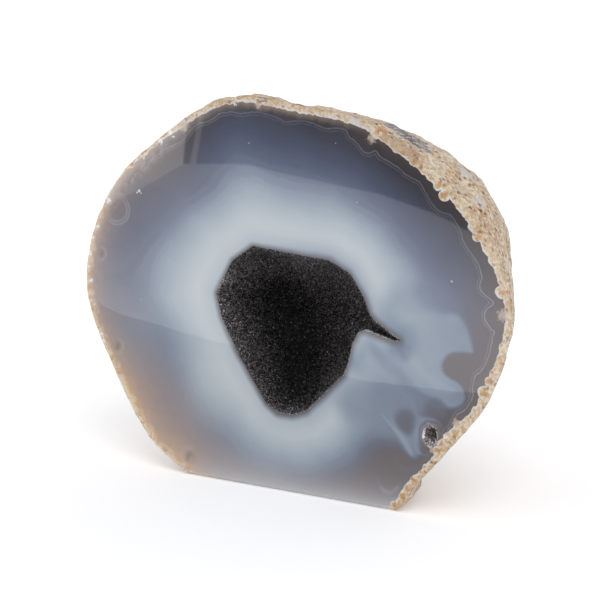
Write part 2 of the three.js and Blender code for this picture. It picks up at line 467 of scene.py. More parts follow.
# The pocket: points near its edge move onto it, and those inside sink to depth * sqrt(1 - q^2), with q = 1
# at the edge.
def sinkPocket(face):
    flat = face.reshape(-1, 3)
    isNear = np.hypot(flat[:, 0] - pocket["heart"][0], flat[:, 2] - pocket["heart"][1]) < pocket["reach"]
    points = flat[isNear]
    gaps = np.linalg.norm(points[:, None, ::2] - pocketLoop, axis=-1)
    isSnapped = gaps.min(1) < pocket["snap"]
    points[isSnapped, ::2] = pocketLoop[gaps.argmin(1)][isSnapped]
    spoke = points[:, ::2] - pocket["heart"]
    edge = radiusAt(np.arctan2(spoke[:, 1], spoke[:, 0]), pocketLoop, pocket["heart"])
    share = np.where(isSnapped, 1, np.minimum(1, np.hypot(*spoke.T) / edge))
    points[:, 1] = pocketDepth(points[:, 2]) * np.sqrt(1 - share ** 2)
    flat[isNear] = points
    return flat.reshape(face.shape)


rind, hasBase = rindRings()
facePart, spokeAngle = faceRings(rind[0])
facePart = sinkPocket(facePart)
wallTurn = np.linspace(quarter, 0, hollow["wallRows"] + 1)[1:-1, None]
wall = hollowPoint(spokeAngle + 0 * wallTurn, wallTurn + 0 * spokeAngle)
rings = np.concatenate([wall, facePart, rind])
rowCount, columnCount = rings.shape[:2]
hollowPole = hollowPoint(np.zeros(1), np.full(1, quarter))
backPole = rind[-1].mean(0, keepdims=True)
stonePoints = np.concatenate([rings.reshape(-1, 3), hollowPole, backPole])

# The stone stands where the CAD solid does: same middle, same face plane.
low, high = (np.array(corner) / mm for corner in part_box("agate"))
shift = np.array([(low[0] + high[0] - stonePoints[:, 0].min() - stonePoints[:, 0].max()) / 2, low[1], 0])
print("stone is moved by", np.round(shift, 2), "mm")

poleIndex = rowCount * columnCount
around = np.arange(columnCount)
hollowFan = np.stack([np.full(columnCount, poleIndex), around, (around + 1) % columnCount], 1)
backFan = np.stack([np.full(columnCount, poleIndex + 1), poleIndex - columnCount + (around + 1) % columnCount,
                    poleIndex - columnCount + around], 1)
stoneQuads = gridFaces(rowCount, columnCount)

# Which finish each face has, in the order of the stone's materials.
polished, rough, sawn, hollowWall, pocketWall = range(5)
leastDepth = 0.01  # mm under the polish at which the pocket's wall begins
quadRow, quadColumn = np.divmod(np.arange(len(stoneQuads)), columnCount)
firstFace, firstRind = len(wall), len(wall) + len(facePart)
onBase = quadColumn >= nodule["naturalColumns"] - 1
baseRows = firstRind + int(hasBase.sum())
finish = np.full(len(stoneQuads), rough)
finish[quadRow < firstRind] = polished
finish[quadRow < firstFace] = hollowWall
finish[onBase & (quadRow >= firstRind) & (quadRow < baseRows)] = sawn
depthOf = stonePoints[stoneQuads][..., 1].max(1)
finish[(quadRow >= firstFace) & (quadRow < firstRind) & (depthOf > leastDepth)] = pocketWall
finish = np.concatenate([finish, np.full(columnCount, hollowWall), np.full(columnCount, rough)])
print("stone surface worked out")


# How the agate is banded: mm on the face, degrees round the heart, hills as (direction, reach, height)

banding = {
    "rimWidth": 0.45,
    "rimHills": [
        (90, 24, 1.0), (50, 16, 1.6), (28, 12, 1.5), (8, 16, 0.7), (-10, 10, 1.7), (-27, 9, 1.5),
        (-30, 6, 1.0), (-52, 18, 1.2), (124, 7, 0.9), (140, 12, 0.3), (172, 30, -0.4),
    ],
    "knobs": [  # families of round knobs along the inner side of the rim
        {"spacing": 4.3, "radii": (1.0, 1.8), "stand": (0.05, 0.5)},
        {"spacing": 1.4, "radii": (0.4, 0.75), "stand": (0.1, 0.5)},
        {"spacing": 0.62, "radii": (0.2, 0.34), "stand": (0.3, 0.75)},
    ],
    "knobDirections": (-62, 146),
    "knobPlaces": (0.15, 0.85),  # how unevenly a knob stands in its own span
    "knobSeed": 11,
    "knobDepth": 14,  # mm from the edge within which knobs are looked for
    "cores": [  # knobs with an ochre core: x, z, radius
        (31.0, 93.5, 0.9), (34.0, 91.3, 0.9), (38.9, 88.1, 1.0), (41.0, 86.0, 1.2), (42.9, 83.9, 1.5),
        (50.2, 76.8, 0.8), (51.9, 74.5, 1.2), (58.7, 61.3, 1.5), (56.0, 38.2, 1.3), (54.4, 35.2, 1.6),
        (-39.8, 90.3, 0.9), (-44.5, 86.0, 1.2), (-48.5, 82.0, 0.8), (42.7, 20.0, 1.1), (41.5, 18.2, 1.1),
        (38.4, 13.2, 0.8), (35.5, 9.3, 0.8), (33.4, 6.8, 1.1), (32.2, 4.6, 1.1), (29.5, 1.9, 1.0),
    ],
    "coreStretch": 1.7,
    "pinkKnobs": [(22.4, 96.0, 1.3), (59.4, 55.6, 1.7), (40.4, 18.1, 0.9), (46.9, 26.2, 1.1),
    (-32.4, 93.9, 1.7), (-10.3, 101.2, 0.9)],
    "chips": [
        (-62.0, 56.6, 0.9), (-61.9, 49.2, 0.8), (-58.9, 34.6, 0.9), (-58.0, 33.2, 0.8), (-36.6, 91.5, 0.8),
        (-35.7, 90.6, 0.5), (-17.0, 100.9, 0.6), (-45.8, 9.4, 0.7), (43.9, 22.0, 0.8), (-56.3, 70.9, 0.5),
        (-60.7, 65.2, 0.7), (-61.3, 61.0, 0.8), (-62.6, 52.8, 0.7), (-61.2, 42.6, 0.6), (-55.2, 25.3, 0.5),
        (-39.6, 88.9, 1.0), (-44.9, 84.4, 0.8), (-56.0, 71.6, 0.9), (-59.6, 64.1, 0.8),
    ],
    "doubleLine": [
        (28, 2), (33, 9), (38.5, 15.5), (43, 22), (46, 26.3), (47.1, 28.6), (48.4, 29.4), (50, 31),
        (51.3, 33.6), (51.3, 36), (51.7, 38.7), (53.5, 40.5), (55, 43), (55.9, 46), (56.2, 48), (57, 50.9),
        (56.2, 51.6), (54.7, 53.5), (54.3, 55.5), (55.1, 56.9), (56.6, 58.1), (55.9, 59.1), (54, 60.4),
        (52.8, 61.8), (53.3, 64), (53.1, 66), (52, 68), (50.5, 70), (49, 71.5), (48.1, 73), (47.3, 75.5),
        (46, 77.5), (44.6, 79), (42, 79.5), (40, 80.6), (38.5, 82.5), (37.4, 84.3), (36, 86.2), (34, 87.1),
        (32, 87.9), (30.2, 89.3), (28.5, 90), (27, 90.7), (24.7, 91.6), (23.6, 92.9), (22.5, 92.3),
        (20.6, 92.2), (19, 93.4), (17.6, 94.9), (15.9, 95.6), (15.3, 97.2), (13.5, 97.6), (11, 97.3),
        (8.5, 97.3), (6, 98), (3, 98.4), (0, 98), (-2.4, 97.7), (-4, 98.4), (-6.5, 98.8), (-9.5, 99.4),
        (-12, 99.2), (-15, 98.6), (-18.4, 98.6), (-21.4, 97.9), (-23.5, 96.5), (-26, 95.2), (-28.1, 94.5),
        (-30, 92.9), (-31.5, 91.1), (-33.5, 89.4), (-36, 87.9), (-38.2, 86.8), (-39.7, 85.7), (-42.1, 83.8),
        (-44, 81.3), (-46, 80), (-48.3, 78.2), (-48.9, 75.1), (-52.6, 71.6), (-56.5, 67), (-59.5, 57),
        (-59.5, 44), (-56, 32), (-50, 20), (-43, 8), (-35, 0), (-18, -3), (10, -3),
    ],
    "lineSeen": [(62, 40, 0.42), (4, 20, 0.85), (-24, 14, 0.55), (120, 22, 0.45), (142, 9, 0.22)],
    "bandSeen": [(72, 50, 0.9), (10, 26, 0.55), (-24, 18, 0.5), (128, 16, 0.3)],
    "rimBrown": [(78, 40, 1.0), (32, 22, 0.75)],
    "rimShade": [(100, 18, 0.9), (76, 12, 0.5), (124, 9, 0.4)],
    "reachHills": [
        (180, 34, -0.19), (218, 22, -0.14), (228, 14, -0.14), (268, 26, -0.2), (-25, 24, -0.12),
        (112, 14, -0.13), (58, 15, -0.1), (197, 13, 0.1),
    ],
    "outerHills": [(54, 21, -0.3), (2, 12, 0.15), (105, 20, -0.04), (129, 16, -0.16), (156, 14, -0.08)],
    "plateauHills": [(195, 46, 0.55), (262, 30, 0.52), (-48, 22, 0.3)],
    "plateauSoft": 0.07,
    "dimHills": [(268, 36, 0.03), (205, 30, 0.02), (-30, 16, 0.1)],
    "brownHills": [(262, 38, 0.75), (214, 24, 0.6), (182, 18, 0.2), (-50, 30, 1.0), (-4, 20, 0.8),
    (140, 16, 0.25)],
    "darkBrownHills": [(-45, 32, 1.0), (-5, 24, 0.6)],
    "brownShares": (0.62, 0.24),
    "glowHills": [(202, 42, 0.9), (226, 18, 0.38), (160, 20, 0.3), (138, 14, 0.15)],
    "puffHills": [(142, 20, 0.32)],
    "puffDepths": (5.5, 2.0),
    "glowDepth": 3.7,
    "glowDepthHills": [(226, 24, 2.9)],
    "lipReach": 2.2,
    "lipHills": [(135, 50, -0.6)],
    "veilShare": 0.4,
    "veilHills": [(60, 45, 0.6), (-50, 45, 0.6), (5, 30, 0.3)],
    "veilDepths": (7, 0.5),
    "footDepth": 3.8,
    "pocketRingHills": [(96, 62, 1.0), (195, 44, 0.75)],
    "crescentHills": [(168, 30, 1.0)],
    "eyes": [  # x, z, radius, and the direction that its rings show best
        (-53.7, 69.6, 3.4, -40), (-54.2, 32.4, 1.9, -20), (-58.8, 57.0, 1.6, -10), (-31.3, 4.8, 2.6, 150),
    ],
    "eyeFacing": (-0.3, 0.6),  # cosines of the way round the eye at which its rings begin and are whole
    "pocketReach": 8,
    # On the sawn base: depths at which the rim and the line lie, the tones from edge to middle.
    "base": {"rim": 1.3, "line": 4.5, "begins": (0, 1.5), "tone": 0.28, "rise": 0.3, "depths": (3, 14),
             "outlineStep": 0.2, "rounding": 0.5},
    # Soft shapes laid over the bands: tone, share covered, softness of the edge in mm, brownness, edge.
    "clouds": [
        (0.57, 0.75, 4.0, 0.0, [
            (24, 52), (26, 57), (30, 59.5), (35, 58), (38.5, 54), (40, 50), (37, 45), (33, 43), (27, 46)]),
        (0.50, 0.65, 2.6, 0.0, [
            (34.5, 58.6), (38, 61.6), (43, 60.4), (48, 57), (46.5, 54.4), (41, 53.6), (36.6, 54.4)]),
        (0.57, 0.85, 3.8, 0.15, [
            (13, 27), (19, 33), (28, 35), (38, 33), (44, 30.5), (43, 28), (37, 25), (35, 17), (31, 17),
            (24, 19), (16, 22)]),
        (0.615, 0.85, 1.1, 0.0, [
            (31, 48.6), (35, 50.8), (40, 52.8), (44, 54), (47.2, 53.9), (49.4, 52), (50.7, 49),
            (51.4, 46.6), (51.4, 44.6), (47, 43.4), (42.6, 41.5), (43.4, 38.6), (47.2, 37.2), (49, 35.8),
            (49.8, 33.8), (49.4, 31.8), (47.8, 30.2), (45, 29.6), (42, 31.4), (38, 32.4), (33.5, 34.2),
            (30, 37), (28, 42)]),
        (0.605, 0.8, 2.6, 0.0, [
            (31, 48), (33, 38), (27, 34), (20, 34), (16, 37), (19, 42), (22, 45), (27, 43.6)]),
        (0.43, 0.95, 0.8, 1.0, [
            (51.6, 44.6), (48.6, 44.5), (46, 44.1), (44.2, 42.9), (43.2, 41), (43.5, 39.1), (45.1, 37.8),
            (47.3, 37.1), (49, 35.7), (49.8, 33.5), (51.3, 34), (51.7, 38), (55, 43), (54, 46)]),
        (0.53, 0.6, 1.4, 0.05, [
            (23, 42.2), (26, 41.2), (29.6, 39), (32.8, 36.6), (36, 33), (34, 31.6), (30, 34.8), (26, 37.6),
            (23, 40.2)]),
        (0.52, 0.55, 1.0, 0.1, [
            (29.6, 44.4), (33.6, 44), (33.6, 41.2), (32, 40.2), (30.8, 42)]),
        (0.68, 0.4, 1.2, 0.0, [
            (31.5, 43.6), (35, 42.4), (39.5, 38), (44, 36), (46.5, 34.4), (43, 33.4), (38.6, 35.4),
            (35, 38.6)]),
        (0.45, 0.75, 1.7, 0.7, [
            (39, 29.8), (41.2, 29.8), (43.2, 28.4), (43, 26.8), (40.6, 26.9), (39, 28.2)]),
        (0.42, 0.75, 1.8, 0.7, [
            (31.6, 27), (34, 26.8), (35, 24.4), (34.4, 21.6), (32, 21.4), (30, 23.2), (30, 25.6)]),
        (0.60, 0.75, 1.3, 0.0, [
            (28.5, 24.4), (31, 22), (33.4, 20.9), (34.6, 22.4), (35.5, 25.4), (38, 26.6), (41, 26),
            (38.4, 25.2), (37, 22.6), (37.2, 17.4), (35.9, 14.6), (33.6, 15.4), (31.6, 18)]),
        (0.64, 0.55, 0.5, 0.0, [
            (25.6, 25.4), (27.4, 24.3), (29.6, 22.3), (31.8, 20.8), (33.6, 18.6), (35, 16.2), (34, 15.8),
            (32.2, 18.2), (30, 20.8), (27.4, 23.4)]),
        (0.58, 0.5, 0.7, 0.0, [
            (34.3, 29.8), (35.1, 29.6), (36.1, 27.2), (37.5, 25.9), (36.9, 25.2), (35.5, 26.2),
            (34.8, 27.6)]),
        (0.60, 0.5, 1.0, 0.4, [
            (29.2, 15.2), (31.2, 13.2), (33.2, 12.4), (35.4, 13.4), (36.2, 12.4), (33.2, 10.9),
            (30.4, 11.8)]),
        (0.63, 0.6, 0.5, 0.3, [
            (35.3, 22.5), (35, 19.2), (35.7, 16.9), (37.4, 15.9), (39.3, 16.2), (39.2, 17), (37.8, 16.9),
            (36.6, 17.8), (36, 19.4), (36.1, 22.3)]),
        (0.84, 0.55, 0.8, 0.3, [
            (24.6, 8.6), (26.2, 6.5), (28.2, 5.7), (30.4, 7.4), (31.2, 6.4), (28.4, 4.1), (25.6, 4.9)]),
    ],
}


def rimKnobs():  # centres and radii of the knobs, at uneven steps along the rim's inner side
    chance = np.random.default_rng(banding["knobSeed"])
    reached = lengthAlong(noduleCurve)
    centres, radii = [], []
    for family in banding["knobs"]:
        count = int(reached[-1] / family["spacing"]) - 1
        s = (np.arange(count) + chance.uniform(*banding["knobPlaces"], count)) * family["spacing"]
        spot = pointsAt(s, noduleCurve, reached)
        ahead = pointsAt(s + 0.2, noduleCurve, reached) - spot
        inward = unit(np.stack([-ahead[:, 1], ahead[:, 0]], 1))
        direction = bearing(*spot.T, nodule["heart"])
        radius = chance.uniform(*family["radii"], count)
        width = banding["rimWidth"] + bells(direction, banding["rimHills"])
        inset = width + (chance.uniform(*family["stand"], count) - 1) * radius
        first, last = banding["knobDirections"]
        isHere = (direction > first) & (direction < last)
        centres.append((spot + inward * inset[:, None])[isHere])
        radii.append(radius[isHere])
    return np.concatenate(centres), np.concatenate(radii)


def spotShare(points, spots):  # distance to the nearest spot, counted in that spot's own radius
    gaps = np.linalg.norm(points[:, None] - spots[:, :2], axis=-1) / spots[:, 2]
    return np.minimum(gaps.min(1), farShare)


def coreShare(points, cores):  # the same, with each spot drawn out away from the heart
    outward = unit(cores[:, :2] - np.array(nodule["heart"]))
    away = points[:, None] - cores[:, :2]
    along = (away * outward).sum(-1)
    across = away[..., 0] * outward[:, 1] - away[..., 1] * outward[:, 0]
    along = np.where(along > 0, along / banding["coreStretch"], along)
    return np.minimum((np.hypot(along, across) / cores[:, 2]).min(1), farShare)


def depthInside(points, loop):  # distance to a closed loop, below zero outside it, by the even-odd rule
    x, z = points.T
    isInside = np.zeros(len(points), bool)
    for (x0, z0), (x1, z1) in zip(loop, np.roll(loop, -1, axis=0)):
        isBetween = (z0 > z) != (z1 > z)
        isInside ^= isBetween & (x < (x1 - x0) * (z - z0) / (z1 - z0 + 1e-12) + x0)
    return closestGap(points, loop) * np.where(isInside, 1, -1)


def layClouds(points, tone, brown):  # changes both, and returns how far the fine layers still show
    layered = np.ones(len(points))
    for cloudTone, share, soft, cloudBrown, edge in banding["clouds"]:
        loop = closedCurve(edge, 12)
        reach = 2 * soft
        isNear = ((points > loop.min(0) - reach) & (points < loop.max(0) + reach)).all(1)
        depth = depthInside(points[isNear], loop)
        cover = share * smooth(-soft, soft, depth)
        tone[isNear] += cover * (cloudTone - tone[isNear])
        brown[isNear] += cover * (cloudBrown - brown[isNear])
        layered[isNear] *= 1 - smooth(-reach, 0, depth)
    return layered


# What the finish of the face reads at each point: distances in mm, and shares from 0 to 1.
def faceValues(x, z):
    def shown(name):
        return bells(direction, banding[name])

    points = np.stack([x, z], 1)
    direction = bearing(x, z, nodule["heart"])
    edgeGap = closestGap(points, noduleCurve)
    hollowGap = closestGap(points, notchedLoop)
    centres, radii = rimKnobs()
    cores, pinks = np.array(banding["cores"]), np.array(banding["pinkKnobs"])
    centres = np.concatenate([centres, cores[:, :2]])
    radii = np.concatenate([radii, cores[:, 2]])
    rimDepth = edgeGap - banding["rimWidth"] - shown("rimHills")
    isNear = edgeGap < banding["knobDepth"]
    rimDepth[isNear] = np.minimum(rimDepth[isNear], closestGap(points[isNear], centres, radii))

    line = closedCurve(banding["doubleLine"], 8)
    lineRadius = radiusAt(np.radians(direction), line, nodule["heart"])
    isWithin = np.hypot(x - nodule["heart"][0], z - nodule["heart"][1]) < lineRadius
    linePlace = closestGap(points, line) * np.where(isWithin, 1, -1)

    share = edgeGap / (edgeGap + hollowGap)
    tone = 1 - (1 - share) * (1 + shown("reachHills")) - shown("dimHills")
    tone += shown("outerHills") * (1 - share) ** 2
    above = tone - shown("plateauHills")
    tone += (np.sqrt(above ** 2 + banding["plateauSoft"] ** 2) - above) / 2
    brown = shown("brownHills") * smooth(*banding["brownShares"], share)
    layered = layClouds(points, tone, brown)

    glowDepth = banding["glowDepth"] + shown("glowDepthHills")
    veil = np.clip(banding["veilShare"] + shown("veilHills"), 0, 1)

    eyes = np.array(banding["eyes"])
    gaps = np.linalg.norm(points[:, None] - eyes[:, :2], axis=-1) / eyes[:, 2]
    nearest = eyes[gaps.argmin(1)]
    facing = bearing(x, z, nearest.T) - nearest[:, 3]
    aroundPocket = bearing(x, z, pocket["heart"])
    return {
        "tone": tone,
        "layered": layered,
        "rimDepth": np.minimum(rimDepth, farGap),
        "linePlace": np.clip(linePlace, -10, farGap),
        "brown": np.clip(brown, 0, 1),
        "darkBrown": shown("darkBrownHills"),
        **{label: shown(label) for label in ("lineSeen", "bandSeen", "rimBrown", "rimShade")},
        "puffSeen": shown("puffHills") * smooth(*banding["puffDepths"], edgeGap),
        # painted light: paler towards the bottom, as light from the floor comes through the lower edge
        "paintedFootGlow": np.exp(-np.maximum(z, 0) / banding["footDepth"]),
        # painted light that comes through the thin natural edge, strongest on the left, fading inwards
        "paintedGlow": shown("glowHills") * np.exp(-edgeGap / glowDepth),
        "edgeGap": np.minimum(edgeGap, farGap),
        "glowSeen": shown("glowHills"),
        "lip": np.minimum(hollowGap / (banding["lipReach"] + shown("lipHills")), farShare),
        "veil": veil * smooth(*banding["veilDepths"], hollowGap),
        "core": coreShare(points, cores),
        "pink": spotShare(points, pinks),
        "chip": spotShare(points, np.array(banding["chips"])),
        "eye": np.minimum(gaps.min(1), farShare),
        "eyeSeen": smooth(*banding["eyeFacing"], np.cos(np.radians(facing))),
        "pocketGap": np.clip(-depthInside(points, pocketLoop), 0, banding["pocketReach"]),
        "pocketRing": bells(aroundPocket, banding["pocketRingHills"]),
        "crescent": bells(aroundPocket, banding["crescentHills"]),
    }


# The same on the sawn base, where only distances from its own outline differ.
def baseValues(x, y, values):
    base, last = banding["base"], nodule["naturalColumns"] - 1
    outline = np.concatenate([rind[hasBase][:, 0, :2], rind[hasBase][::-1, last, :2]])
    loop = roundedLoop([tuple(p) for p in outline[::3]], base["outlineStep"], base["rounding"])
    gap = closestGap(np.stack([x, y], 1), loop)
    isNatural = smooth(*base["begins"], y)
    onBase = {
        "rimDepth": gap - base["rim"],
        "linePlace": gap - base["line"],
        "tone": base["tone"] + base["rise"] * smooth(*base["depths"], gap),
    }
    for label, value in onBase.items():
        values[label] = values[label] * (1 - isNatural) + value * isNatural
    return values


# The rind: cream, beige and tan mottles with pale specks, ochre spots, dark pits and a few stained patches.

rindLook = {
    "cream": srgb(200, 187, 163),
    "beige": srgb(184, 161, 132),
    "tan": srgb(172, 132, 93),
    "speck": srgb(224, 217, 202),
    "ochre": srgb(126, 88, 54),
    "pit": srgb(74, 56, 46),
    "crack": srgb(52, 52, 60),
    "crackEdge": srgb(206, 208, 212),
    "milkStain": srgb(186, 194, 206),
    "greyStain": srgb(150, 139, 138),
    "brownStain": srgb(148, 119, 94),
    "darkStain": srgb(86, 70, 62),
    "goldStain": srgb(172, 118, 60),
    "noises": {  # size in mm, detail, roughness
        "broad": (6, 4, 0.6), "medium": (1.6, 4, 0.6), "fine": (0.9, 4, 0.65), "veins": (3.2, 5, 0.7),
        "huge": (22, 3, 0.55),
    },
    "cellSize": 1.9,
    "pitCells": (0.17, 0.07),
    "pitPlaces": (0.47, 0.55),
    "rows": [
        {"by": "broad", "ends": (0.42, 0.58), "paint": "beige"},
        {"by": "huge", "ends": (0.5, 0.68), "cover": 0.4, "paint": "tan"},
        {"by": "medium", "ends": (0.5, 0.6), "cover": 0.85, "paint": "tan"},
        {"by": "fine", "ends": (0.5, 0.63), "cover": 0.65, "paint": "speck"},
        {"by": "fine", "ends": (0.48, 0.36), "cover": 0.7, "paint": "tan"},
        {"by": "veins", "ends": (0.57, 0.64), "cover": 0.45, "paint": "milkStain"},
        {"by": "cells", "ends": (0.4, 0.2), "where": ("medium", 0.42, 0.52), "cover": 0.85, "paint": "ochre"},
        {"by": "pits", "paint": "pit"},
        {"by": "brownStain", "cover": 0.6, "paint": "brownStain"},
        {"by": "milkStain", "cover": 0.65, "paint": "milkStain"},
        {"by": "greyStain", "cover": 0.85, "paint": "greyStain"},
        {"by": "greyStain", "where": ("fine", 0.56, 0.66), "cover": 0.85, "paint": "crackEdge"},
        {"by": "greyStain", "where": ("seam", 0.045, 0.02), "cover": 0.85, "paint": "crack"},
        {"by": "darkStain", "cover": 0.85, "paint": "darkStain"},
        {"by": "goldStain", "cover": 0.8, "paint": "goldStain"},
    ],
    "stainRow": {"sways": [("medium", 2.2), ("fine", 1.4)], "ends": (1.1, 0.7)},
    "heights": {"medium": 0.7, "fine": 0.45, "pits": -0.8},
    "stains": {  # x, y, z, radius in mm
        "grey": [(24.5, 10.6, 96.4, 5.0), (28.4, 9.2, 95.2, 5.0), (32.0, 7.0, 93.9, 3.6)],
        "brown": [(26.5, 0.6, 96.4, 1.6), (29.2, 0.8, 95.0, 2.4), (32.0, 0.8, 93.2, 2.7),
        (34.2, 0.6, 91.8, 2.0)],
        "milk": [
            (17.8, 0.2, 99.4, 1.5), (20.8, 0.2, 97.8, 1.7), (32.8, 9.4, 93.2, 2.2), (42.0, 12.4, 87.8, 1.8),
            (43.6, 12.8, 86.4, 1.7), (49.2, 7.2, 81.9, 1.6),
        ],
        "dark": [
            (-17.8, 1.9, 102.5, 1.9), (-10.0, 1.9, 103.1, 2.6), (0.4, 2.7, 102.5, 2.0),
            (45.9, 1.8, 20.8, 1.5), (45.1, 1.8, 19.6, 1.4), (43.6, 1.8, 17.8, 1.5), (33.9, 2.6, 92.2, 1.0),
            (27.8, 0.9, 96.7, 0.5), (46.3, 14.1, 82.4, 0.9), (52.9, 0.4, 77.3, 0.5), (51.8, 4.8, 79.4, 0.6),
            (47.0, 3.4, 83.7, 0.5),
        ],
        "gold": [
            (-14.6, 2.2, 103.0, 2.0), (-38.8, 0.2, 90.9, 1.3), (-45.4, 0.9, 85.7, 1.7),
            (-48.1, 0.2, 82.4, 1.2), (24.5, 1.5, 98.0, 1.6),
        ],
    },
}


def stainShares(points):  # distance to the nearest stain of each kind, counted in that stain's own radius
    shares = {}
    for kind, spots in rindLook["stains"].items():
        gaps = np.stack([np.linalg.norm(points - spot[:3], axis=1) / spot[3] for spot in np.array(spots)])
        shares[kind + "Stain"] = np.minimum(gaps.min(0), farShare)
    return shares


def rockColor(tree, place):  # colour of the rind, and the height of its roughness
    look = rindLook
    sources = {name: noise(place, *sizes) for name, sizes in look["noises"].items()}
    cells = node("ShaderNodeTexVoronoi", {"Vector": place, "Scale": 1 / (look["cellSize"] * mm)})
    sources["cells"] = swayed(cells.outputs["Distance"], sources["fine"], 0.5)
    pitPlaces = step(sources["broad"], *look["pitPlaces"])
    sources["pits"] = times(step(sources["cells"], *look["pitCells"]), pitPlaces)
    sources["seam"] = gapTo(sources["veins"], 0.5)
    rows = [{**look["stainRow"], **row} if row["by"].endswith("Stain") else row for row in look["rows"]]
    color = layPaints(tree, look["cream"], rows, sources, look)
    medium, fine, pits = (times(sources[name], share) for name, share in look["heights"].items())
    return color, calculate("ADD", calculate("ADD", medium, fine), pits)


def rindFinish():
    material, tree, shader = newMaterial("rough rind", {"Roughness": 0.62})
    color, height = rockColor(tree, objectPlace(tree))
    fill(shader, {"Base Color": color, "Normal": bump(height, 0.8, 0.5)})
    return material


# The agate itself. One row of bands runs from the dark ones under the rim to the pale ones round the hollow.
# Tints, painted light through the edges and at the foot, the rim and the thin lines are laid over it by the
# distances that the mesh carries.

ringSway = [("fine", 1.2)]
lineSways = [("fine", 0.5), ("mottle", 0.8)]
eyeSway = [("fine", 0.14)]

